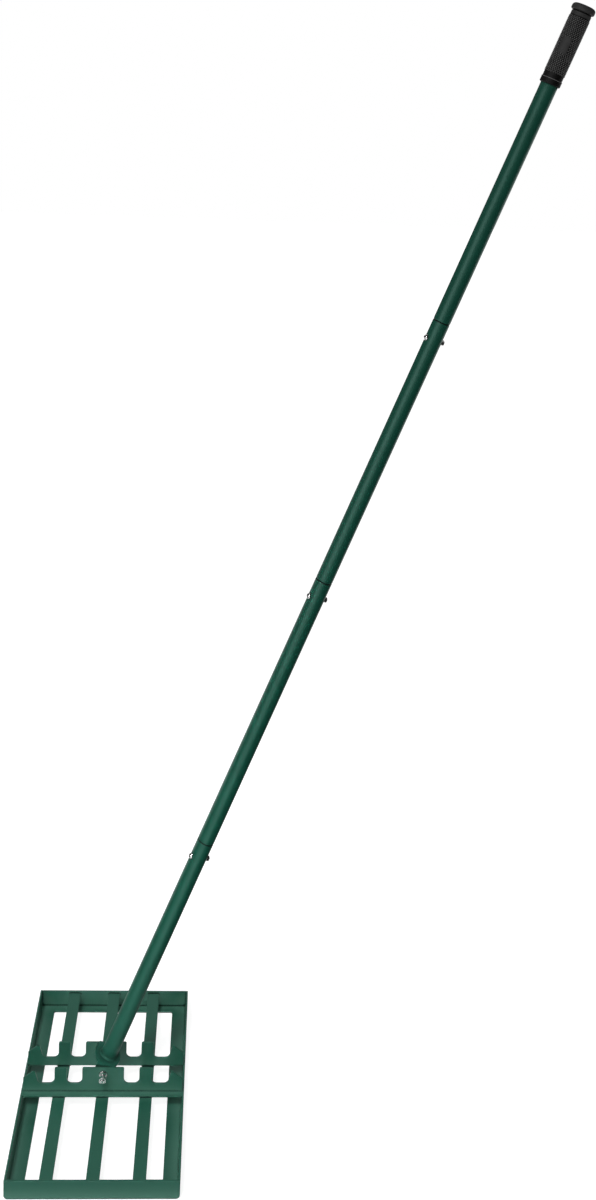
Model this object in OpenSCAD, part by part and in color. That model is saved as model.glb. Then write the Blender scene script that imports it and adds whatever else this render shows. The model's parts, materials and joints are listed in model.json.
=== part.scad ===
// Lawn leveling rake: an open steel drag pan, a hinged yoke and a four-piece bolted handle.
// X runs across the head, the way it is pushed and pulled, Y along it, and Z up from the ground.

/* [Drag head] */
// Width of the head in the push and pull direction
head_w = 254; // [220:1:320]
// Length of the head, side to side behind the user
head_l = 432; // [380:1:600]
// Height of the upright edge round the head
rail_h = 29.5; // [27:0.5:34]
// Width of the skid lip along the two long sides
side_lip = 26; // [20:1:30]
// Width of the skid lip along the two ends, end plate included
end_lip = 18; // [14:1:24]
// Thickness of the pan and of the end plates
rail_t = 3; // [2:0.5:4]
// Inner radius of the fold between lip and side flange
rail_bend = 3; // [1.5:0.5:5]
// Radius in the corners of the pan's opening
opening_r = 3; // [1:0.5:6]

/* [Slats] */
// Width of a slat
slat_w = 19.5; // [14:0.5:26]
// Thickness of a slat
slat_t = 3; // [2:0.5:4]
// Spacing of the slats
slat_pitch = 67.5; // [58:0.5:72]

/* [Cross bars] */
// Clear gap between the two cross bar webs
web_gap = 56.5; // [54:0.5:70]
// Thickness of the cross bar steel
bar_t = 3; // [2:0.5:4]
// Width of a cross bar's foot, web included
bar_foot = 13.5; // [10:0.5:22]
// Inner radius of the cross bar's fold
bar_bend = 0.6; // [0.4:0.2:3]
// Height of the tabs above the slats
tab_h = 43; // [42:0.5:52]
// Height of the web below the notches
strip_h = 16; // [10:0.5:22]
// Width of the centre tab that carries the pivot
centre_tab_w = 65; // [56:1:76]
// Width of the notch beside the centre tab
inner_notch_w = 24; // [20:1:28]
// Width of the narrow tab over a slat
slat_tab_w = 19; // [14:1:22]
// Width of the notch beside the end tab
outer_notch_w = 27; // [20:1:28]
// Radius in the bottom corners of a notch
notch_r = 8; // [4:0.5:9]
// Radius on the top corners of a tab
tab_r = 2.5; // [1:0.5:4]
// Height of the end tab where it meets the rail
end_tab_low = 25; // [22:0.5:30]
// Height of the end tab at its inner corner
end_tab_high = 37; // [33:0.5:40]
// Lean of the end tab's inner edge towards the rail
end_tab_lean = 3; // [0:0.5:4]

/* [Pivot] */
// Height of the pivot bolt above the slats
pivot_rise = 32; // [29:0.5:34]
// Diameter of the pivot bolt
pivot_d = 6; // [5:0.5:7]
// Hexagon of the pivot bolt's head and nuts, across flats
pivot_hex = 10; // [9.5:0.5:13]
// Height of the pivot bolt's head
pivot_head_h = 4; // [3:0.1:6]
// Height of the pivot nut against the near cross bar
pivot_nut_h = 5; // [4:0.5:8]
// Length of open thread between the pivot nut and its lock nut
pivot_gap = 3; // [0.5:0.5:6]
// Height of the pivot lock nut
lock_nut_h = 6; // [4:0.5:10]
// Length of thread past the pivot lock nut
pivot_tail = 1.2; // [1:0.1:6]
// Outside diameter of the pivot washers
washer_d = 12; // [11:0.5:16]
// Thickness of the washers under the head and nut
washer_t = 1.6; // [1:0.1:2.5]
// Thickness of the wear washers beside the yoke
wear_washer_t = 1.5; // [1:0.1:2.5]

/* [Yoke] */
// Width of the yoke strip
yoke_w = 30; // [24:0.5:34]
// Thickness of the yoke strip
yoke_t = 3; // [2:0.5:4]
// Height of the yoke's bridge above the pivot
yoke_rise = 13; // [12:0.5:20]
// Inner radius of the yoke's folds
yoke_bend = 1; // [0.5:0.5:4]
// Width of the bridge in the middle, where its sides bow out under the handle
bridge_w = 42; // [38:0.5:46]
// Shift of the handle on the bridge, towards the lean
handle_shift = 1.5; // [0:0.5:3]
// Lean of the handle from upright at rest
lean = 21.15; // [0:0.05:40]

/* [Handle] */
// Outside diameter of the handle tube
tube_d = 26; // [22:0.1:28]
// Wall of the handle tube
tube_wall = 1; // [0.8:0.1:1.6]
// Length from the pivot to the lowest seam
lower_len = 408; // [300:1:500]
// Visible length of the lower middle tube
lower_middle_len = 457; // [350:1:550]
// Visible length of the upper middle tube
upper_middle_len = 430; // [350:1:550]
// Visible length of the top tube, grip included
upper_len = 495; // [400:1:600]
// Length of the necked end that slips into the tube below
spigot_len = 56; // [50:1:80]
// Radius of the round shoulder where the tube necks down
shoulder_r = 4; // [2.5:0.5:6]
// Distance of a joint bolt below its seam
joint_drop = 29; // [18:1:34]
// Turn of the joint bolts round the handle, towards the front end plate
joint_turn = 20; // [-90:1:90]
// Diameter of a joint bolt
joint_bolt_d = 5; // [4:0.5:6]
// Diameter of a joint bolt's domed head
joint_head_d = 9.6; // [8:0.2:12]
// Height of a joint bolt's domed head
joint_head_h = 3.6; // [2.5:0.1:5]
// Hexagon of a joint nut, across flats
joint_hex = 8; // [7.5:0.5:10]
// Height of a joint nut
joint_nut_h = 4.7; // [3.5:0.1:6]
// Length of thread past a joint nut
joint_tail = 1.6; // [0.5:0.1:3]

/* [Grip] */
// Length of the rubber grip
grip_len = 120; // [100:1:160]
// Diameter of the grip's body
grip_d = 29.8; // [29:0.2:34]
// Diameter of the flange at the grip's end
grip_flange_d = 35; // [33:0.2:44]
// Length of the flange at the grip's end
grip_flange_len = 10; // [8:0.5:16]
// Diameter of the collar at the grip's mouth
grip_collar_d = 31.2; // [30.6:0.2:36]
// Length of the collar at the grip's mouth
grip_collar_len = 8; // [5:0.5:12]
// Thickness of the grip's closed end
grip_end_t = 4; // [3:0.5:6]

/* [Hidden] */
// Running clearance of the yoke on its bolt
pivot_clear = 0.05;
// Clearance of a bolt in the holes it passes through, and of a thread in its nut
bolt_clear = 0.15;
// Play of the yoke between its wear washers, each side
yoke_play = 0.1;
// Slip clearance of a necked end in the tube below
spigot_clear = 0.1;
// Fillet of weld round the foot of the handle
weld_leg = 2.2;
// Distance of the bridge's bowed sides from the yoke's folds
bow_margin = 2;
// Chamfer on hexagon corners and bolt ends
hex_chamfer = 0.9;
// Rounding of a tube's open top edge
mouth_r = 0.7;
// Radius on the grip's rims
grip_rim_r = 2.5;
// Depth and width of the groove under the grip's flange, and the chamfer of its collar
grip_groove = 0.9;
// Overrun of every cut
over = 1;
// Facets of round shapes, and steps of a drawn arc
round_fn = 96;
arc_steps = 6;

inner_w = head_w - 2 * rail_t;
inner_l = head_l - 2 * rail_t;
rail_round = rail_bend + rail_t;
// The cross bars' feet finish level with the head's top edge
slat_top = rail_h - bar_t;
bar_z = slat_top;
pivot_z = bar_z + pivot_rise;
web_out = web_gap / 2 + bar_t;
// Where the pivot washers' outer faces, the nut and the lock nut lie along the bolt
seat_y = web_out + washer_t;
nut_end_y = seat_y + pivot_nut_h;
lock_y = nut_end_y + pivot_gap;
lock_end_y = lock_y + lock_nut_h;
yoke_span = web_gap - 2 * (wear_washer_t + yoke_play);
yoke_round = yoke_w / 2;
// Length, height and radius of the arcs on which the sides of the yoke's bridge bow out between its folds
bow_len = yoke_span - 2 * (yoke_t + yoke_bend + bow_margin);
bow_h = (bridge_w - yoke_w) / 2;
bow_r = (bow_len * bow_len / 4 + bow_h * bow_h) / (2 * bow_h);
tube_r = tube_d / 2;
tube_bore_r = tube_r - tube_wall;
spigot_r = tube_bore_r - spigot_clear;
// The shoulder's arc starts on the neck at this angle and rises this far above the seam
shoulder_a = acos(1 - (tube_r - spigot_r) / shoulder_r);
shoulder_rise = shoulder_r * sin(shoulder_a);
seam_1 = lower_len;
seam_2 = seam_1 + lower_middle_len;
seam_3 = seam_2 + upper_middle_len;
handle_len = seam_3 + upper_len;
tube_end = handle_len - grip_end_t;
// The origin lies on the ground under the middle of the whole tool, whose far end is the grip's round rim
grip_end_r = 2 * grip_rim_r;
reach_z = handle_len - grip_end_r;
reach_x = reach_z * sin(lean) + (grip_flange_d / 2 - grip_end_r + handle_shift) * cos(lean) + grip_end_r;
mid_x = (reach_x - head_w / 2) / 2;

paint = [0.13, 0.30, 0.24];
zinc = [0.74, 0.75, 0.76];
rubber = [0.08, 0.08, 0.08];

// Puts the head's own frame, with its centre on the ground, under the tool's origin
module on_ground() {
    translate([-mid_x, 0, 0])
        children();
}

// Puts the pivot bolt's middle in place
module on_pivot() {
    on_ground()
        translate([0, 0, pivot_z])
            children();
}

// Stands the yoke, drawn along +Z from the pivot, at its lean
module on_yoke() {
    on_pivot()
        rotate([0, lean, 0])
            children();
}

// Stands the handle, drawn along +Z, on the yoke
module on_handle() {
    on_yoke()
        translate([handle_shift, 0, 0])
            children();
}

// Turns a profile drawn in x and y to run along X, with its x along Y and its y along Z
module along_x(length) {
    translate([-length / 2, 0, 0])
        rotate([90, 0, 90])
            linear_extrude(length)
                children();
}

// Turns a profile drawn in x and y to run along Y, with its x along X and its y along Z
module along_y(length) {
    translate([0, length / 2, 0])
        rotate([90, 0, 0])
            linear_extrude(length)
                children();
}

// A bar whose axis runs along Y, from one place on it to another
module rod_y(diameter, from_y, to_y) {
    translate([0, from_y, 0])
        rotate([-90, 0, 0])
            cylinder(d = diameter, h = to_y - from_y, $fn = round_fn);
}

// Points on an arc, from one angle to another
function arc_points(centre, radius, from_a, to_a) = [
    for (i = [0 : arc_steps])
        let (a = from_a + (to_a - from_a) * i / arc_steps)
            [centre[0] + radius * cos(a), centre[1] + radius * sin(a)]
];

// Section of a folded angle: a foot along x, an upright along y and a fold with this inner radius
module folded_angle(foot, upright, thickness, bend) {
    bend_r = bend + thickness;
    translate([bend_r, 0])
        square([foot - bend_r, thickness]);
    translate([0, bend_r])
        square([thickness, upright - bend_r]);
    translate([bend_r, bend_r])
        intersection() {
            difference() {
                circle(r = bend_r, $fn = round_fn);
                circle(r = bend, $fn = round_fn);
            }
            translate([-bend_r, -bend_r])
                square([bend_r, bend_r]);
        }
}

// A rectangle with round corners, centred
module round_rectangle(wide, long, radius) {
    square([wide - 2 * radius, long], center = true);
    square([wide, long - 2 * radius], center = true);
    for (x = [radius - wide / 2, wide / 2 - radius], y = [radius - long / 2, long / 2 - radius])
        translate([x, y])
            circle(r = radius, $fn = round_fn);
}

// The pan: a floor with a large opening and a flange folded up along each side
module pan() {
    color(paint)
        on_ground()
            difference() {
                along_y(inner_l)
                    for (side = [0, 1])
                        mirror([side, 0])
                            translate([-head_w / 2, 0])
                                folded_angle(head_w - rail_round, rail_h, rail_t, rail_bend);
                translate([0, 0, -over])
                    linear_extrude(rail_t + 2 * over)
                        round_rectangle(head_w - 2 * side_lip, head_l - 2 * end_lip, opening_r);
            }
}

// The near end plate, cut to the pan's outline and welded over its end
module end_plate() {
    color(paint)
        on_ground()
            translate([0, (rail_t - head_l) / 2, 0])
                along_y(rail_t) {
                    translate([-head_w / 2, rail_round])
                        square([head_w, rail_h - rail_round]);
                    translate([rail_round - head_w / 2, 0])
                        square([head_w - 2 * rail_round, rail_h]);
                    for (x = [rail_round - head_w / 2, head_w / 2 - rail_round])
                        translate([x, rail_round])
                            circle(r = rail_round, $fn = round_fn);
                }
}

module front_end_plate() {
    end_plate();
}

module rear_end_plate() {
    mirror([0, 1, 0])
        end_plate();
}

// A flat slat between the two end plates, at one place across the head
module slat(place_x) {
    color(paint)
        on_ground()
            translate([place_x - slat_w / 2, -inner_l / 2, slat_top - slat_t])
                cube([slat_w, inner_l, slat_t]);
}

module left_slat() {
    slat(-slat_pitch);
}

module centre_slat() {
    slat(0);
}

module right_slat() {
    slat(slat_pitch);
}

// A notch with round bottom corners, open at the top, from one place to another
module notch(from_x, to_x) {
    wide = to_x - from_x;
    deep = tab_h - strip_h + over;
    translate([from_x, strip_h]) {
        translate([notch_r, 0])
            square([wide - 2 * notch_r, deep]);
        translate([0, notch_r])
            square([wide, deep - notch_r]);
        for (x = [notch_r, wide - notch_r])
            translate([x, notch_r])
                circle(r = notch_r, $fn = round_fn);
    }
}

// What is trimmed off to round a tab's top corner, with the tab on the side that side points away from
module corner_trim(place_x, side) {
    translate([place_x, tab_h])
        scale([side, 1])
            translate([-tab_r, -tab_r])
                difference() {
                    square([tab_r + over, tab_r + over]);
                    circle(r = tab_r, $fn = round_fn);
                }
}

// What is cut from one half of a cross bar's web, seen along Y
module web_cuts() {
    tab_in = centre_tab_w / 2 + inner_notch_w;
    tab_out = tab_in + slat_tab_w;
    end_in = tab_out + outer_notch_w;
    end_out = inner_w / 2;
    tip = end_in + end_tab_lean;
    slope = atan((end_tab_high - end_tab_low) / (end_out - tip));
    notch(centre_tab_w / 2, tab_in);
    notch(tab_out, end_in);
    corner_trim(centre_tab_w / 2, 1);
    corner_trim(tab_in, -1);
    corner_trim(tab_out, 1);
    // The end tab's leaning inner edge and sloping top, which falls towards the rail
    polygon(concat(
        [[end_in - over, tab_h + over], [end_in - over, strip_h + notch_r], [end_in, strip_h + notch_r]],
        arc_points([tip + tab_r, end_tab_high - tab_r], tab_r, 180, 90 - slope),
        [[end_out, end_tab_low], [end_out + over, end_tab_low], [end_out + over, tab_h + over]]
    ));
}

// The far cross bar: a folded angle with a notched web and the pivot hole
module cross_bar() {
    translate([0, 0, bar_z])
        difference() {
            translate([0, web_gap / 2, 0])
                along_x(inner_w)
                    folded_angle(bar_foot, tab_h, bar_t, bar_bend);
            for (side = [0, 1])
                mirror([side, 0, 0])
                    along_y(2 * web_out + 2 * over)
                        web_cuts();
            translate([0, 0, pivot_rise])
                rod_y(pivot_d + 2 * bolt_clear, 0, web_out + over);
        }
}

module rear_cross_bar() {
    color(paint)
        on_ground()
            cross_bar();
}

module front_cross_bar() {
    color(paint)
        on_ground()
            mirror([0, 1, 0])
                cross_bar();
}

// A hexagon with its far corners chamfered, standing on z = 0
module chamfered_hex(flats, height) {
    corner_r = flats / 2 / cos(30);
    intersection() {
        cylinder(r = corner_r, h = height, $fn = 6);
        rotate_extrude($fn = round_fn)
            polygon([
                [0, 0], [corner_r, 0], [corner_r, height - hex_chamfer / 2],
                [corner_r - hex_chamfer, height], [0, height]
            ]);
    }
}

// A round shank with a chamfered end, standing on z = 0
module shank(diameter, length) {
    rotate_extrude($fn = round_fn)
        polygon([
            [0, 0], [diameter / 2, 0], [diameter / 2, length - hex_chamfer],
            [diameter / 2 - hex_chamfer, length], [0, length]
        ]);
}

// The pivot bolt, its head behind the far web and its thread past the near lock nut
module pivot_bolt() {
    color(zinc)
        on_pivot() {
            translate([0, seat_y, 0])
                rotate([-90, 0, 0])
                    rotate(30)
                        chamfered_hex(pivot_hex, pivot_head_h);
            translate([0, seat_y, 0])
                rotate([90, 0, 0])
                    shank(pivot_d, seat_y + lock_end_y + pivot_tail);
        }
}

// A nut on the near end of the pivot bolt, one corner up, from one place along it to another
module nut_on_pivot(from_y, to_y) {
    color(zinc)
        on_pivot()
            difference() {
                translate([0, -from_y, 0])
                    rotate([90, 0, 0])
                        rotate(30)
                            chamfered_hex(pivot_hex, to_y - from_y);
                rod_y(pivot_d + 2 * bolt_clear, -to_y - over, -from_y + over);
            }
}

module pivot_nut() {
    nut_on_pivot(seat_y, nut_end_y);
}

module pivot_lock_nut() {
    nut_on_pivot(lock_y, lock_end_y);
}

// A washer on the pivot bolt, from one place along it to another
module pivot_washer(from_y, to_y) {
    color(zinc)
        on_pivot()
            difference() {
                rod_y(washer_d, from_y, to_y);
                rod_y(pivot_d + 2 * bolt_clear, from_y - over, to_y + over);
            }
}

module nut_washer() {
    pivot_washer(-seat_y, -web_out);
}

module head_washer() {
    pivot_washer(web_out, seat_y);
}

module front_wear_washer() {
    pivot_washer(-web_gap / 2, -web_gap / 2 + wear_washer_t);
}

module rear_wear_washer() {
    pivot_washer(web_gap / 2 - wear_washer_t, web_gap / 2);
}

// Half of the yoke's section: a cheek, its fold and half of the bridge
module yoke_half_section() {
    translate([yoke_span / 2, yoke_rise])
        rotate(180)
            folded_angle(yoke_span / 2, yoke_rise + yoke_round, yoke_t, yoke_bend);
}

// Outline of the bridge's middle, whose sides bow out from the strip's width
module bridge_outline() {
    intersection() {
        square([bridge_w, bow_len + bow_margin], center = true);
        translate([bow_r - bridge_w / 2, 0])
            circle(r = bow_r, $fn = round_fn);
        translate([bridge_w / 2 - bow_r, 0])
            circle(r = bow_r, $fn = round_fn);
    }
}

// The yoke: a strip folded to an upside-down U, wider under the handle,
// with round ears that turn on the pivot bolt
module yoke() {
    color(paint)
        on_yoke()
            difference() {
                union() {
                    intersection() {
                        along_x(yoke_w) {
                            yoke_half_section();
                            mirror([1, 0])
                                yoke_half_section();
                        }
                        along_y(yoke_span) {
                            circle(r = yoke_round, $fn = round_fn);
                            translate([-yoke_w / 2, 0])
                                square([yoke_w, yoke_rise]);
                        }
                    }
                    translate([0, 0, yoke_rise - yoke_t])
                        linear_extrude(yoke_t)
                            bridge_outline();
                }
                rod_y(pivot_d + 2 * pivot_clear, -yoke_span / 2 - over, yoke_span / 2 + over);
            }
}

// Puts a joint bolt's middle in place, with its axis along X and its head towards -X
module on_joint(seam) {
    on_handle()
        translate([0, 0, seam - joint_drop])
            rotate([0, 0, joint_turn])
                children();
}

// The hole that a joint bolt goes through, square to the handle
module joint_hole(seam) {
    on_joint(seam)
        translate([-tube_r - over, 0, 0])
            rotate([0, 90, 0])
                cylinder(d = joint_bolt_d + 2 * bolt_clear, h = tube_d + 2 * over, $fn = round_fn);
}

// A tube's open top, with its outer edge rounded
function mouth_section(top) = concat(
    arc_points([tube_r - mouth_r, top - mouth_r], mouth_r, 0, 90),
    [[tube_bore_r, top]]
);

// Section of a tube whose necked end slips into the tube below the seam
function necked_section(seam, top) = concat(
    [[spigot_r - tube_wall, seam - spigot_len], [spigot_r, seam - spigot_len]],
    arc_points([tube_r - shoulder_r, seam + shoulder_rise], shoulder_r, -shoulder_a, 0),
    mouth_section(top),
    [[tube_bore_r, seam + shoulder_rise], [spigot_r - tube_wall, seam]]
);

// A tube with a necked lower end, bolted at the seam below it and at any seam above it
module necked_tube(seam, top, upper_seam) {
    color(paint)
        difference() {
            on_handle()
                rotate_extrude($fn = round_fn)
                    polygon(necked_section(seam, top));
            joint_hole(seam);
            if (upper_seam > seam)
                joint_hole(upper_seam);
        }
}

// The bottom tube, welded on the yoke's bridge
module lower_tube() {
    foot = [
        [tube_bore_r, yoke_rise], [tube_r + weld_leg, yoke_rise], [tube_r, yoke_rise + weld_leg]
    ];
    color(paint)
        difference() {
            on_handle()
                rotate_extrude($fn = round_fn)
                    polygon(concat(foot, mouth_section(seam_1)));
            joint_hole(seam_1);
        }
}

module lower_middle_tube() {
    necked_tube(seam_1, seam_2, seam_2);
}

module upper_middle_tube() {
    necked_tube(seam_2, seam_3, seam_3);
}

module upper_tube() {
    necked_tube(seam_3, tube_end, seam_3);
}

// A domed bolt through the handle below a seam, its head on the near side of the lean
module joint_bolt(seam) {
    head_r = joint_head_d / 2;
    dome_r = (head_r * head_r + joint_head_h * joint_head_h) / (2 * joint_head_h);
    dome_a = asin(head_r / dome_r);
    color(zinc)
        on_joint(seam)
            translate([-tube_r, 0, 0]) {
                rotate([0, -90, 0])
                    rotate_extrude($fn = round_fn)
                        polygon(concat(
                            [[0, 0]],
                            arc_points([0, joint_head_h - dome_r], dome_r, 90 - dome_a, 90)
                        ));
                rotate([0, 90, 0])
                    shank(joint_bolt_d, tube_d + joint_nut_h + joint_tail);
            }
}

module joint_nut(seam) {
    color(zinc)
        on_joint(seam)
            translate([tube_r, 0, 0])
                rotate([0, 90, 0])
                    difference() {
                        chamfered_hex(joint_hex, joint_nut_h);
                        translate([0, 0, -over])
                            cylinder(
                                d = joint_bolt_d + 2 * bolt_clear,
                                h = joint_nut_h + 2 * over,
                                $fn = round_fn
                            );
                    }
}

module lower_joint_bolt() {
    joint_bolt(seam_1);
}

module middle_joint_bolt() {
    joint_bolt(seam_2);
}

module upper_joint_bolt() {
    joint_bolt(seam_3);
}

module lower_joint_nut() {
    joint_nut(seam_1);
}

module middle_joint_nut() {
    joint_nut(seam_2);
}

module upper_joint_nut() {
    joint_nut(seam_3);
}

// The rubber grip: a closed sleeve with a collar at its mouth and a round flange at its end
module grip() {
    bottom = handle_len - grip_len;
    flange_z = handle_len - grip_flange_len;
    grip_r = grip_d / 2;
    flange_r = grip_flange_d / 2;
    collar_r = grip_collar_d / 2;
    color(rubber)
        on_handle()
            rotate_extrude($fn = round_fn)
                polygon(concat(
                    [[tube_r, bottom], [collar_r - grip_groove, bottom]],
                    [[collar_r, bottom + grip_groove], [collar_r, bottom + grip_collar_len - grip_groove]],
                    [[grip_r, bottom + grip_collar_len], [grip_r, flange_z - 2 * grip_groove]],
                    [[grip_r - grip_groove, flange_z - grip_groove], [grip_r - grip_groove, flange_z]],
                    arc_points([flange_r - grip_rim_r, flange_z + grip_rim_r], grip_rim_r, -90, 0),
                    arc_points([flange_r - grip_end_r, handle_len - grip_end_r], grip_end_r, 0, 90),
                    [[0, handle_len], [0, tube_end], [tube_r, tube_end]]
                ));
}

pan();
front_end_plate();
rear_end_plate();
left_slat();
centre_slat();
right_slat();
front_cross_bar();
rear_cross_bar();
pivot_bolt();
pivot_nut();
pivot_lock_nut();
nut_washer();
head_washer();
front_wear_washer();
rear_wear_washer();
yoke();
lower_tube();
lower_middle_tube();
upper_middle_tube();
upper_tube();
grip();
lower_joint_bolt();
middle_joint_bolt();
upper_joint_bolt();
lower_joint_nut();
middle_joint_nut();
upper_joint_nut();
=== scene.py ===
"""Lawn leveling rake: powder coat, zinc plate, weld beads, a screw thread and a dotted rubber grip."""

import json
import math

import bpy
from mathutils import Matrix, Vector


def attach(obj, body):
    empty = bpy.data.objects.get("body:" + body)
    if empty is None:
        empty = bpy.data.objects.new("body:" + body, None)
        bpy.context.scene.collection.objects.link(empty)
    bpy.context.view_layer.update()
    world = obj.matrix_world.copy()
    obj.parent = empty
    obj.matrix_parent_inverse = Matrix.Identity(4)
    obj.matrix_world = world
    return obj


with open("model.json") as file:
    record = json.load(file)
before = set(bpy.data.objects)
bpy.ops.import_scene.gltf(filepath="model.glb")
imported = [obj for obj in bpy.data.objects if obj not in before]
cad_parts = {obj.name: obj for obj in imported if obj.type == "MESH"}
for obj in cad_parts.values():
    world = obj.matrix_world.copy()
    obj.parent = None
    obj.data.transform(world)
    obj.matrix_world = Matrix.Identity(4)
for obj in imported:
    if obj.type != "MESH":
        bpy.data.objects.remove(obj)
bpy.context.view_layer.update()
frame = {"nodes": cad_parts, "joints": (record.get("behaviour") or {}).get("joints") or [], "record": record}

# Sizes that the pieces here share with the solids, in metres
PIVOT = Vector(frame["joints"][0]["pos_m"])
LEAN = math.radians(21.15)
AXIS_OFFSET = 0.0015
HEAD = Matrix.Translation((PIVOT.x, 0, 0))
HANDLE = Matrix.Translation(PIVOT) @ Matrix.Rotation(LEAN, 4, "Y") @ Matrix.Translation((AXIS_OFFSET, 0, 0))
SLAT_PLACES = (-0.0675, 0.0, 0.0675)
SLAT_HALF = 0.00975
SLAT_TOP = 0.0265
SLAT_T = 0.003
SLAT_END = 0.213
FOOT_IN, FOOT_OUT = 0.03125, 0.04175
RAIL_INSIDE = 0.124
NUT_END, LOCK_NUT_START = -0.03785, -0.04085
BOLT_R = 0.003
SEAMS = (0.408, 0.865, 1.295)
HANDLE_END = 1.79
GRIP_LEN = 0.12
GRIP_START = HANDLE_END - GRIP_LEN
GRIP_R = 0.0149
COLLAR_LEN = 0.008
COLLAR_R = 0.0156

# Sizes of the trim that is made here, in metres
SEAM_HALF = 0.0007
WELD_R, WELD_RIPPLE, WELD_SEED = 0.0016, 0.0022, 4
THREAD_PITCH, THREAD_DEPTH, THREAD_SUNK = 0.001, 0.0004, 0.0001
DOT_COLUMNS, DOT_ROWS = 52, 20
DOT_PITCH, DOT_R = 0.00424, 0.00098
DOT_START = GRIP_START + 0.0175
PANEL_LOW, PANEL_HIGH = GRIP_START + 0.046, GRIP_START + 0.070
PANEL_MIDDLE, PANEL_HALF = math.radians(240), math.radians(30)
RING_BEAD, RING_SUNK = 0.0006, 0.0002

# The photograph's height and focal length in pixels, and the width of the camera's film in millimetres
PHOTO_H = 1200
FOCAL_PIXELS = 1456.9
FILM_W = 36

# Colours of the painted shade in the coat's creases and along the seams between the tubes
CREASE_SHADE_GREEN = (0.001, 0.015, 0.009)
SEAM_SHADE_GREEN = (0.001, 0.008, 0.005)


def put(tree, kind, inputs=None, **settings):
    """Adds a node to a tree. Inputs are values, or the sockets that feed them."""
    made = tree.nodes.new(kind)
    for key, value in settings.items():
        setattr(made, key, value)
    for key, value in (inputs or {}).items():
        if isinstance(value, bpy.types.NodeSocket):
            tree.links.new(value, made.inputs[key])
        else:
            made.inputs[key].default_value = value
    return made


def math_of(tree, operation, *values):
    """The result of one arithmetic step on values or sockets."""
    return put(tree, "ShaderNodeMath", dict(enumerate(values)), operation=operation).outputs[0]


def add_some(tree, value, other, share):
    """A value with a share of another added to it."""
    return math_of(tree, "ADD", value, math_of(tree, "MULTIPLY", other, share))


# Finishes


def new_finish(name, **constants):
    """A material with its shader's constants set, its tree, its shader and its Object coordinates."""
    material = bpy.data.materials.new(name)
    material.use_nodes = True
    tree = material.node_tree
    shader = tree.nodes["Principled BSDF"]
    for key, value in constants.items():
        shader.inputs[key.replace("_", " ")].default_value = value
    place = put(tree, "ShaderNodeTexCoord").outputs["Object"]
    return material, tree, shader, place


def noise(tree, place, grain_mm, detail):
    """Noise whose grains are about so many millimetres across."""
    made = put(tree, "ShaderNodeTexNoise", {"Vector": place, "Scale": 1000 / grain_mm, "Detail": detail})
    return made.outputs["Fac"]


def spread(tree, value, low, high, from_low=0.3, from_high=0.7):
    """Carries one range, by default a noise's middle, over to another."""
    made = put(
        tree, "ShaderNodeMapRange",
        {"Value": value, "From Min": from_low, "From Max": from_high, "To Min": low, "To Max": high},
    )
    return made.outputs["Result"]


def inside(tree, value, low, high, soft=0.001):
    """1 where a value lies between two others, with soft ends."""
    rise = spread(tree, value, 0.0, 1.0, low - soft, low)
    return math_of(tree, "MULTIPLY", rise, spread(tree, value, 1.0, 0.0, high, high + soft))


def grey(level):
    """A grey as three numbers."""
    return (level, level, level)


def tint(tree, share, dark, light):
    """A colour between two others, each three numbers or a socket."""
    dark, light = (c if isinstance(c, bpy.types.NodeSocket) else (*c, 1) for c in (dark, light))
    mixed = put(tree, "ShaderNodeMix", {"Factor": share, "A": dark, "B": light}, data_type="RGBA")
    return mixed.outputs["Result"]


def open_share(tree, reach, low, high):
    """0 deep in a corner or gap no wider than the reach, 1 out in the open."""
    seen = put(tree, "ShaderNodeAmbientOcclusion", {"Distance": reach}, samples=8).outputs["AO"]
    return spread(tree, seen, 0.0, 1.0, low, high)


def reach_from(tree, place, spot, way):
    """How far a place lies from a spot, measured in one direction."""
    apart = put(tree, "ShaderNodeVectorMath", {0: place, 1: spot}, operation="SUBTRACT").outputs["Vector"]
    return put(tree, "ShaderNodeVectorMath", {0: apart, 1: way}, operation="DOT_PRODUCT").outputs["Value"]


def along_handle(tree, place):
    """How far a place is along the handle at rest, from the pivot."""
    return reach_from(tree, place, PIVOT, (math.sin(LEAN), 0, math.cos(LEAN)))


def relief(tree, shader, height, strength, depth, edge_radius, samples):
    """Gives a shader fine relief and softly rounded edges."""
    edges = put(tree, "ShaderNodeBevel", {"Radius": edge_radius}, samples=samples).outputs["Normal"]
    bump = put(
        tree, "ShaderNodeBump",
        {"Strength": strength, "Distance": depth, "Height": height, "Normal": edges},
    )
    tree.links.new(bump.outputs["Normal"], shader.inputs["Normal"])


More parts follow.
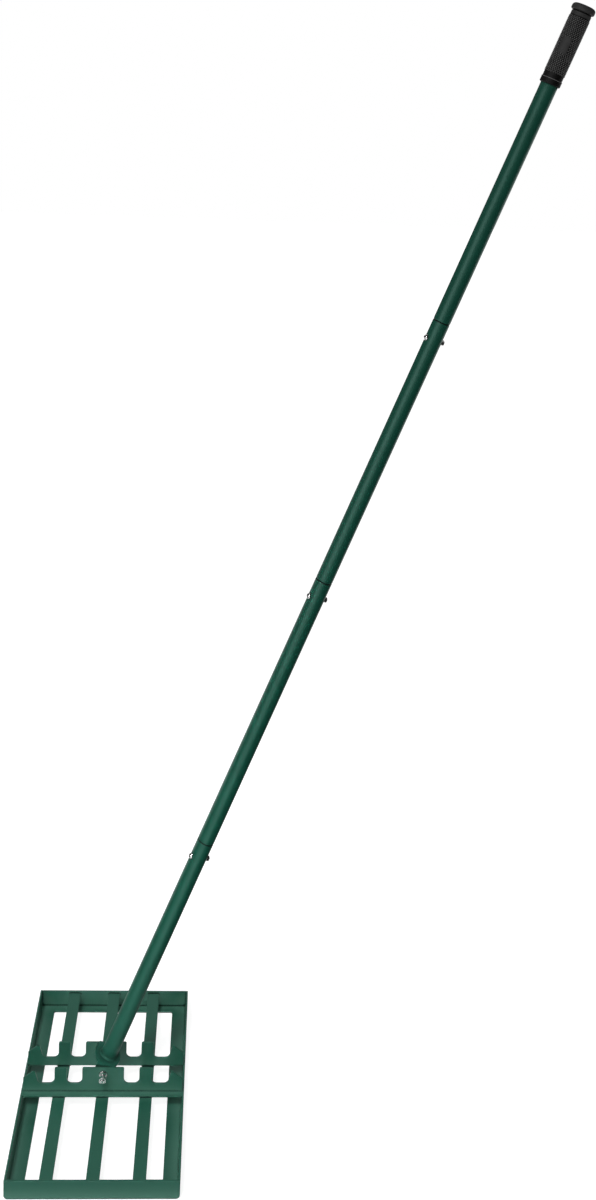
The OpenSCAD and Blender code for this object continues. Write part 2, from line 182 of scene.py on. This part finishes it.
def green_powder_coat(name, red, reach, nook_light_shade, corner_rough, seams=()):
    """Satin green powder coat: faint clouds, fine speckle, orange peel, a painted tone in nooks (painted
    light when paler than the coat, painted shade when darker), and painted shade in creases and at the given
    seams.
    """
    material, tree, shader, place = new_finish(
        name, Metallic=0.0, Specular_IOR_Level=0.8, Specular_Tint=(0.58, 1.0, 0.88, 1.0)
    )
    clouds = spread(tree, noise(tree, place, 70, 3), 0.0, 1.0)
    speckle = spread(tree, noise(tree, place, 0.9, 1), 0.0, 1.0, 0.35, 0.65)
    share = add_some(tree, math_of(tree, "MULTIPLY", clouds, 0.6), speckle, 0.4)
    coat = tint(tree, share, (0.7 * red, 0.081, 0.050), (red, 0.097, 0.061))
    # Nooks painted with the given tone: painted light on the sheet coat, whose nook tone is paler, and
    # painted shade on the tube coat, whose nook tone is darker
    folded = tint(tree, open_share(tree, reach, 0.50, 0.97), nook_light_shade, coat)
    # Painted shade: the coat turns near black in creases narrower than 5 mm
    shaded = tint(tree, open_share(tree, 0.005, 0.64, 0.79), CREASE_SHADE_GREEN, folded)
    # Painted shade: a thin near black band across the tube at each seam
    for seam in seams:
        off = math_of(tree, "ABSOLUTE", math_of(tree, "SUBTRACT", along_handle(tree, place), seam))
        clear = spread(tree, off, 0.0, 1.0, SEAM_HALF, 2 * SEAM_HALF)
        shaded = tint(tree, clear, SEAM_SHADE_GREEN, shaded)
    tree.links.new(shaded, shader.inputs["Base Color"])
    satin = spread(tree, noise(tree, place, 1.6, 3), 0.37, 0.47)
    corner = spread(tree, open_share(tree, 0.016, 0.86, 0.995), corner_rough, 0.3, 0.0, 1.0)
    tree.links.new(math_of(tree, "MAXIMUM", satin, corner), shader.inputs["Roughness"])
    peel = add_some(tree, noise(tree, place, 1.8, 2), noise(tree, place, 0.5, 1), 0.4)
    relief(tree, shader, peel, strength=0.35, depth=0.00012, edge_radius=0.0007, samples=6)
    return material


def zinc_plate():
    """Bright zinc plate: fine tumbled marks, a faint warm and cool bloom, and painted shade in narrow gaps.
    """
    material, tree, shader, place = new_finish("zinc_plate", Metallic=1.0)
    bloom = spread(tree, noise(tree, place, 5, 3), 0.0, 1.0)
    plate = tint(tree, bloom, (0.80, 0.82, 0.84), (0.93, 0.92, 0.89))
    # Painted shade: the plate turns near black in gaps narrower than 3 mm, such as between the nuts
    gap = open_share(tree, 0.003, 0.40, 0.62)
    tree.links.new(tint(tree, gap, grey(0.02), plate), shader.inputs["Base Color"])
    tree.links.new(spread(tree, noise(tree, place, 0.7, 3), 0.10, 0.20), shader.inputs["Roughness"])
    marks = noise(tree, place, 0.5, 2)
    relief(tree, shader, marks, strength=0.3, depth=0.00005, edge_radius=0.0009, samples=8)
    return material


def rubber(name, dark, light):
    """Matte black rubber: a fine moulded pebble, and a greyer bloom that varies at random."""
    material, tree, shader, place = new_finish(name, Metallic=0.0, Specular_IOR_Level=0.35)
    bloom = spread(tree, noise(tree, place, 14, 3), 0.0, 1.0)
    skin = tint(tree, bloom, grey(dark), grey(light))
    tree.links.new(skin, shader.inputs["Base Color"])
    tree.links.new(spread(tree, noise(tree, place, 1.2, 2), 0.50, 0.68), shader.inputs["Roughness"])
    pebble = add_some(tree, noise(tree, place, 0.7, 2), noise(tree, place, 2.5, 1), 0.5)
    relief(tree, shader, pebble, strength=0.5, depth=0.00015, edge_radius=0.0008, samples=6)
    return material, tree, shader, place, skin


def grip_rubber():
    """The grip's own rubber: painted shade between its dots and in its groove, darker below its dots, grey on
    its thumb panel.
    """
    material, tree, shader, place, skin = rubber("grip_rubber", 0.037, 0.053)
    along = along_handle(tree, place)
    thumb = HANDLE.to_3x3() @ Vector((math.cos(PANEL_MIDDLE), math.sin(PANEL_MIDDLE), 0))
    facing = reach_from(tree, place, HANDLE.to_translation(), thumb)
    panel_edge = GRIP_R * math.cos(PANEL_HALF)
    turned = spread(tree, facing, 0.0, 1.0, 0.98 * panel_edge, panel_edge)
    panel = math_of(tree, "MULTIPLY", turned, inside(tree, along, PANEL_LOW, PANEL_HIGH))
    dots_low, dots_high = DOT_START - DOT_PITCH / 2, DOT_START + DOT_ROWS * DOT_PITCH
    dotted = inside(tree, along, dots_low, dots_high)
    # Painted shade on the ground between the dots, apart from the thumb panel; the band below the dots is
    # darker too
    ground = math_of(tree, "MULTIPLY", dotted, math_of(tree, "SUBTRACT", 1.0, panel))
    skirt = spread(tree, along, 1.0, 0.0, dots_low, DOT_START)
    shaded = tint(tree, math_of(tree, "MAXIMUM", ground, skirt), skin, grey(0.003))
    # Painted shade in the groove
    groove = open_share(tree, 0.0025, 0.72, 0.95)
    tree.links.new(tint(tree, groove, grey(0.002), shaded), shader.inputs["Base Color"])
    return material


FINISHES = {
    # Its nooks are painted paler than the coat: painted light
    "green_paint": green_powder_coat(
        "green_sheet_coat", red=0.013, reach=0.024, nook_light_shade=(0.070, 0.190, 0.140), corner_rough=0.45
    ),
    "zinc_plated_steel": zinc_plate(),
    "grip_rubber": grip_rubber(),
}
# A paler copy of the grip's rubber for its dots and the collar's bead: painted highlight, the light that they
# catch
GRIP_PAINTED_HIGHLIGHT_RUBBER = rubber("grip_painted_highlight_rubber", 0.14, 0.17)[0]
# Its nooks are painted darker than the coat: painted shade, such as at the tube's foot and joints
TUBE_COAT = green_powder_coat(
    "green_tube_coat", red=0.005, reach=0.012, nook_light_shade=(0.003, 0.030, 0.018), corner_rough=0.9, seams=SEAMS
)


def finish_solids():
    """Gives each solid the finish of its material slot, and the handle's painted solids the tube's coat."""
    handle = frame["record"]["behaviour"]["bodies"]["handle"]
    for part in frame["record"]["subparts"]:
        solid = frame["nodes"][part["node"]]
        painted = part["material_slot"] == "green_paint" and part["node"] in handle
        solid.data.materials.clear()
        solid.data.materials.append(TUBE_COAT if painted else FINISHES[part["material_slot"]])


# Pieces that geometry trees make


def new_tree(name, **sizes):
    """A geometry tree with a named input for each size, the sockets of its inputs, and its last node."""
    kinds = {float: "NodeSocketFloat", int: "NodeSocketInt"}
    tree = bpy.data.node_groups.new(name, "GeometryNodeTree")
    tree.interface.new_socket("Geometry", in_out="INPUT", socket_type="NodeSocketGeometry")
    for label, value in sizes.items():
        tree.interface.new_socket(label, in_out="INPUT", socket_type=kinds[type(value)])
    tree.interface.new_socket("Geometry", in_out="OUTPUT", socket_type="NodeSocketGeometry")
    return tree, put(tree, "NodeGroupInput").outputs, put(tree, "NodeGroupOutput")


def close_tree(tree, last, geometry, material):
    """Ends a tree in real, smooth, painted faces."""
    real = put(tree, "GeometryNodeRealizeInstances", {"Geometry": geometry}).outputs["Geometry"]
    smooth = put(tree, "GeometryNodeSetShadeSmooth", {"Geometry": real}).outputs["Geometry"]
    painted = put(tree, "GeometryNodeSetMaterial", {"Geometry": smooth, "Material": material})
    tree.links.new(painted.outputs["Geometry"], last.inputs["Geometry"])


def circle(tree, resolution, radius):
    """A round curve about Z."""
    made = put(tree, "GeometryNodeCurvePrimitiveCircle", {"Resolution": resolution, "Radius": radius})
    return made.outputs["Curve"]


def grow(name, tree, sizes, place, body, start=None):
    """Runs a tree, on a mesh or on nothing, and puts what it makes on a body as a plain mesh at its place."""
    piece = bpy.data.objects.new(name, start or bpy.data.meshes.new(name))
    bpy.context.scene.collection.objects.link(piece)
    modifier = piece.modifiers.new("grow", "NODES")
    modifier.node_group = tree
    for socket in tree.interface.items_tree:
        if socket.in_out == "INPUT" and socket.name in sizes:
            modifier[socket.identifier] = sizes[socket.name]
    grown = piece.evaluated_get(bpy.context.evaluated_depsgraph_get())
    mesh = bpy.data.meshes.new_from_object(grown)
    piece.modifiers.clear()
    piece.data = mesh
    mesh.name = name
    mesh.transform(place)
    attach(piece, body)


def line_mesh(name, lines):
    """A mesh of straight lines, each from one point to another."""
    points = [point for line in lines for point in line]
    mesh = bpy.data.meshes.new(name)
    mesh.from_pydata(points, [(i, i + 1) for i in range(0, len(points), 2)], [])
    return mesh


def weld_bead_tree(material):
    """Weld beads along lines, whose ripples swell and sink a little unevenly."""
    tree, size, last = new_tree("weld_bead", Radius=0.0, Ripple=0.0, Seed=0)
    lines = put(tree, "GeometryNodeMeshToCurve", {"Mesh": size["Geometry"]}).outputs["Curve"]
    step = math_of(tree, "DIVIDE", size["Ripple"], 8.0)
    fine = put(tree, "GeometryNodeResampleCurve", {"Curve": lines, "Length": step}, mode="LENGTH")
    along = put(tree, "GeometryNodeSplineParameter").outputs
    turns = math_of(tree, "MULTIPLY", math_of(tree, "DIVIDE", along["Length"], size["Ripple"]), math.tau)
    wave = math_of(tree, "MULTIPLY", math_of(tree, "SINE", turns), 0.13)
    jitter = put(
        tree, "ShaderNodeTexNoise", {"Scale": 420.0, "Detail": 1.0, "W": size["Seed"]}, noise_dimensions="4D"
    ).outputs["Fac"]
    uneven = math_of(tree, "MULTIPLY", math_of(tree, "SUBTRACT", jitter, 0.5), 0.5)
    swell = math_of(tree, "ADD", math_of(tree, "ADD", 1.0, wave), uneven)
    bead = put(
        tree, "GeometryNodeCurveToMesh",
        {"Curve": fine.outputs["Curve"], "Profile Curve": circle(tree, 10, size["Radius"]), "Scale": swell,
         "Fill Caps": True},
    ).outputs["Mesh"]
    close_tree(tree, last, bead, material)
    return tree


def weld_beads():
    """Beads under the slats' ends and along the cross bars' feet."""
    under = SLAT_TOP - SLAT_T
    end_half = 0.8 * SLAT_HALF
    slat_foot, rail_foot = 0.95 * FOOT_OUT, 0.97 * FOOT_OUT
    lines = []
    for x in SLAT_PLACES:
        for end in (-SLAT_END, SLAT_END):
            lines.append([(x - end_half, end, under), (x + end_half, end, under)])
        for side in (x - SLAT_HALF, x + SLAT_HALF):
            for bar in (-1, 1):
                lines.append([(side, bar * FOOT_IN, SLAT_TOP), (side, bar * slat_foot, SLAT_TOP)])
    for x in (-RAIL_INSIDE, RAIL_INSIDE):
        for bar in (-1, 1):
            lines.append([(x, bar * FOOT_IN, SLAT_TOP), (x, bar * rail_foot, SLAT_TOP)])
    sizes = {"Radius": WELD_R, "Ripple": WELD_RIPPLE, "Seed": WELD_SEED}
    tree = weld_bead_tree(TUBE_COAT)
    grow("head_welds", tree, sizes, HEAD, "head", start=line_mesh("head_welds", lines))


def thread_tree(material):
    """A screw thread: a four-sided ridge wound along Z."""
    tree, size, last = new_tree("screw_thread", Radius=0.0, Pitch=0.0, Length=0.0, Depth=0.0)
    turns = math_of(tree, "DIVIDE", size["Length"], size["Pitch"])
    helix = put(
        tree, "GeometryNodeCurveSpiral",
        {"Resolution": 36, "Rotations": turns, "Start Radius": size["Radius"], "End Radius": size["Radius"],
         "Height": size["Length"]},
    ).outputs["Curve"]
    thread = put(
        tree, "GeometryNodeCurveToMesh",
        {"Curve": helix, "Profile Curve": circle(tree, 4, size["Depth"]), "Fill Caps": True},
    ).outputs["Mesh"]
    close_tree(tree, last, thread, material)
    return tree


def pivot_thread():
    """The thread that shows between the pivot's two nuts."""
    sizes = {
        "Radius": BOLT_R - THREAD_SUNK, "Pitch": THREAD_PITCH, "Length": NUT_END - LOCK_NUT_START,
        "Depth": THREAD_DEPTH,
    }
    outwards = Matrix.Translation((PIVOT.x, NUT_END, PIVOT.z)) @ Matrix.Rotation(math.pi / 2, 4, "X")
    tree = thread_tree(FINISHES["zinc_plated_steel"])
    grow("pivot_thread", tree, sizes, outwards, "head")


def grip_dot_tree(material):
    """Staggered rows of round dots on a sleeve along Z, left bare on one thumb panel."""
    tree, size, last = new_tree(
        "grip_dots", Columns=0, Rows=0, Radius=0.0, Start=0.0, Pitch=0.0, Dot=0.0,
        Panel_middle=0.0, Panel_half=0.0, Panel_low=0.0, Panel_high=0.0,
    )
    count = math_of(tree, "MULTIPLY", size["Columns"], size["Rows"])
    line = put(tree, "GeometryNodeMeshLine", {"Count": count}, mode="OFFSET").outputs["Mesh"]
    index = put(tree, "GeometryNodeInputIndex").outputs["Index"]
    column = math_of(tree, "MODULO", index, size["Columns"])
    row = math_of(tree, "FLOOR", math_of(tree, "DIVIDE", index, size["Columns"]))
    angle = math_of(tree, "MULTIPLY", math_of(tree, "DIVIDE", column, size["Columns"]), math.tau)
    x = math_of(tree, "MULTIPLY", math_of(tree, "COSINE", angle), size["Radius"])
    y = math_of(tree, "MULTIPLY", math_of(tree, "SINE", angle), size["Radius"])
    stagger = math_of(tree, "MULTIPLY", math_of(tree, "MODULO", column, 2.0), 0.5)
    rise = math_of(tree, "MULTIPLY", math_of(tree, "ADD", row, stagger), size["Pitch"])
    z = math_of(tree, "ADD", size["Start"], rise)
    spot = put(tree, "ShaderNodeCombineXYZ", {"X": x, "Y": y, "Z": z}).outputs["Vector"]
    placed = put(tree, "GeometryNodeSetPosition", {"Geometry": line, "Position": spot}).outputs["Geometry"]
    off = math_of(tree, "ABSOLUTE", math_of(tree, "SUBTRACT", angle, size["Panel_middle"]))
    in_turn = math_of(tree, "LESS_THAN", off, size["Panel_half"])
    above = math_of(tree, "GREATER_THAN", z, size["Panel_low"])
    below = math_of(tree, "LESS_THAN", z, size["Panel_high"])
    bare = math_of(tree, "MULTIPLY", in_turn, math_of(tree, "MULTIPLY", above, below))
    kept = put(tree, "GeometryNodeDeleteGeometry", {"Geometry": placed, "Selection": bare}, domain="POINT")
    dot = put(tree, "GeometryNodeMeshUVSphere", {"Segments": 8, "Rings": 5, "Radius": size["Dot"]})
    position = put(tree, "GeometryNodeInputPosition").outputs["Position"]
    outward = put(tree, "ShaderNodeVectorMath", {0: position, 1: (1, 1, 0)}, operation="MULTIPLY")
    turn = put(tree, "FunctionNodeAlignRotationToVector", {"Vector": outward.outputs["Vector"]}, axis="Z")
    dots = put(
        tree, "GeometryNodeInstanceOnPoints",
        {"Points": kept.outputs["Geometry"], "Instance": dot.outputs["Mesh"],
         "Rotation": turn.outputs["Rotation"], "Scale": (1, 1, 0.9)},
    ).outputs["Instances"]
    close_tree(tree, last, dots, material)
    return tree


def grip_dots():
    """Dots all round the grip's body, apart from a bare panel for the thumb."""
    sizes = {
        "Columns": DOT_COLUMNS, "Rows": DOT_ROWS, "Radius": GRIP_R, "Start": DOT_START, "Pitch": DOT_PITCH,
        "Dot": DOT_R, "Panel_middle": PANEL_MIDDLE, "Panel_half": PANEL_HALF,
        "Panel_low": PANEL_LOW, "Panel_high": PANEL_HIGH,
    }
    # The dots take the paler rubber: painted highlight
    grow("grip_dots", grip_dot_tree(GRIP_PAINTED_HIGHLIGHT_RUBBER), sizes, HANDLE, "handle")


def ring_tree(material):
    """A round bead in a circle about Z."""
    tree, size, last = new_tree("grip_ring", Radius=0.0, Bead=0.0)
    ring = put(
        tree, "GeometryNodeCurveToMesh",
        {"Curve": circle(tree, 64, size["Radius"]), "Profile Curve": circle(tree, 8, size["Bead"])},
    ).outputs["Mesh"]
    close_tree(tree, last, ring, material)
    return tree


def grip_ring():
    """The moulded bead round the upper edge of the grip's collar."""
    place = HANDLE @ Matrix.Translation((0, 0, GRIP_START + COLLAR_LEN))
    sizes = {"Radius": COLLAR_R - RING_SUNK, "Bead": RING_BEAD}
    # The bead takes the paler rubber: painted highlight
    grow("grip_ring", ring_tree(GRIP_PAINTED_HIGHLIGHT_RUBBER), sizes, place, "handle")


# The stage


def by_ray(tree, plain, mirrored, seen):
    """One shader for diffuse rays, one for rays from a gloss or a clear surface, one for the camera's."""
    path = put(tree, "ShaderNodeLightPath").outputs
    bounced = math_of(tree, "MAXIMUM", path["Is Glossy Ray"], path["Is Transmission Ray"])
    unseen = put(tree, "ShaderNodeMixShader", {0: bounced, 1: plain, 2: mirrored}).outputs["Shader"]
    return put(tree, "ShaderNodeMixShader", {0: path["Is Camera Ray"], 1: unseen, 2: seen}).outputs["Shader"]


def axes_of(tree, output):
    """The X, Y and Z of a place or a direction, and its length."""
    place = put(tree, "ShaderNodeTexCoord").outputs[output]
    apart = put(tree, "ShaderNodeSeparateXYZ", {"Vector": place}).outputs
    length = put(tree, "ShaderNodeVectorMath", {0: place}, operation="LENGTH").outputs["Value"]
    return apart["X"], apart["Y"], apart["Z"], length


def glow(tree, strength):
    """White light of a surface's own."""
    return put(tree, "ShaderNodeEmission", {"Strength": strength}).outputs["Emission"]


def mirrored_floor(tree, x, y):
    """How bright gloss sees the floor: behind the rake, in front of its head, and under it."""
    behind = spread(tree, y, 0.0, 1.0, 0.5, 0.9)
    beside = math_of(
        tree, "MULTIPLY", spread(tree, x, 1.0, 0.0, 0.13, 0.23), spread(tree, x, 0.0, 1.0, -0.7, -0.3)
    )
    front = math_of(tree, "MULTIPLY", beside, spread(tree, y, 1.3, 0.65, -0.5, -0.3))
    across = spread(tree, math_of(tree, "ABSOLUTE", x), 1.1, 0.0, 0.10, 0.13)
    lengthwise = spread(tree, math_of(tree, "ABSOLUTE", y), 1.0, 0.0, 0.17, 0.21)
    under = math_of(tree, "MULTIPLY", across, lengthwise)
    brightest = math_of(tree, "MAXIMUM", math_of(tree, "MAXIMUM", behind, front), under)
    return math_of(tree, "ADD", brightest, 0.02)


def white_floor():
    """A pale floor that the camera sees white, with the rake's soft shadow."""
    material = bpy.data.materials.new("studio_floor")
    material.use_nodes = True
    tree = material.node_tree
    tree.nodes.clear()
    paper = put(tree, "ShaderNodeBsdfDiffuse", {"Color": (*grey(0.4), 1)}).outputs["BSDF"]
    x, y, _, far = axes_of(tree, "Object")
    white = glow(tree, spread(tree, far, 0.86, 1.0, 0.35, 0.8))
    seen = put(tree, "ShaderNodeAddShader", {0: paper, 1: white}).outputs["Shader"]
    mirrored = glow(tree, mirrored_floor(tree, x, y))
    put(tree, "ShaderNodeOutputMaterial", {"Surface": by_ray(tree, paper, mirrored, seen)})
    half, below_ground = 12.0, 0.0004
    corners = [(-half, -half, 0), (half, -half, 0), (half, half, 0), (-half, half, 0)]
    mesh = bpy.data.meshes.new("floor")
    mesh.from_pydata(corners, [], [(0, 1, 2, 3)])
    mesh.materials.append(material)
    floor = bpy.data.objects.new("floor", mesh)
    floor.location = (PIVOT.x, 0, -below_ground)
    bpy.context.scene.collection.objects.link(floor)


def white_room():
    """A dim room that the camera sees white, and in which gloss sees a backdrop behind the rake."""
    world = bpy.data.worlds.new("studio_room")
    bpy.context.scene.world = world
    world.use_nodes = True
    tree = world.node_tree
    tree.nodes.clear()
    _, back, high, _ = axes_of(tree, "Generated")
    share = math_of(
        tree, "MULTIPLY", spread(tree, back, 0.0, 1.0, 0.3, 0.6), spread(tree, high, 0.0, 1.0, 0.2, 0.5)
    )
    backdrop = spread(tree, share, 0.02, 0.48, 0.0, 1.0)
    plain, mirrored, seen = (
        put(tree, "ShaderNodeBackground", {"Color": (1, 1, 1, 1), "Strength": level}).outputs["Background"]
        for level in (0.32, backdrop, 1.0)
    )
    put(tree, "ShaderNodeOutputWorld", {"Surface": by_ray(tree, plain, mirrored, seen)})


def softbox(name, spot, aim, width, height, watts, beam=180, diffuse=True):
    """A rectangular lamp at one spot, aimed at another. Without its diffuse light it is only mirrored."""
    lamp = bpy.data.lights.new(name, "AREA")
    lamp.shape = "RECTANGLE"
    lamp.size, lamp.size_y, lamp.energy, lamp.spread = width, height, watts, math.radians(beam)
    made = bpy.data.objects.new(name, lamp)
    made.location = spot
    made.rotation_euler = (Vector(aim) - Vector(spot)).to_track_quat("-Z", "Y").to_euler()
    made.visible_camera, made.visible_diffuse = False, diffuse
    bpy.context.scene.collection.objects.link(made)


def photo_camera():
    """The camera of the photograph, fitted to the head's edges and the handle's seams."""
    spot = HEAD @ Vector((0.1407, -2.08336, 1.64848))
    yaw, pitch, roll = (math.radians(a) for a in (3.199, 9.702, 2.352))
    ahead = Vector((math.sin(yaw) * math.cos(pitch), math.cos(yaw) * math.cos(pitch), -math.sin(pitch)))
    level = Vector((math.cos(yaw), -math.sin(yaw), 0))
    upright = level.cross(ahead)
    right = math.cos(roll) * level + math.sin(roll) * upright
    up = math.cos(roll) * upright - math.sin(roll) * level
    lens = bpy.data.cameras.new("photo_camera")
    lens.sensor_width = FILM_W
    lens.lens = FILM_W * FOCAL_PIXELS / PHOTO_H
    lens.shift_y = -0.25
    camera = bpy.data.objects.new("photo_camera", lens)
    camera.matrix_world = Matrix.Translation(spot) @ Matrix((right, up, -ahead)).transposed().to_4x4()
    bpy.context.scene.collection.objects.link(camera)
    bpy.context.scene.camera = camera


photo_camera()
white_floor()
white_room()
head_spot = (-0.27, 0, 0)
softbox("head_softbox", (-0.9, -2.0, 3.0), head_spot, width=0.6, height=0.6, watts=1.6, beam=26)
softbox("front_softbox", (-1.3, -1.8, 1.22), (0, 0, 0.9), width=1.7, height=2.3, watts=19)
softbox("top_softbox", (-0.5, -1.0, 2.9), head_spot, width=0.35, height=0.35, watts=7, diffuse=False)
finish_solids()
weld_beads()
pivot_thread()
grip_dots()
grip_ring()

bpy.context.scene.view_settings.view_transform = "Standard"
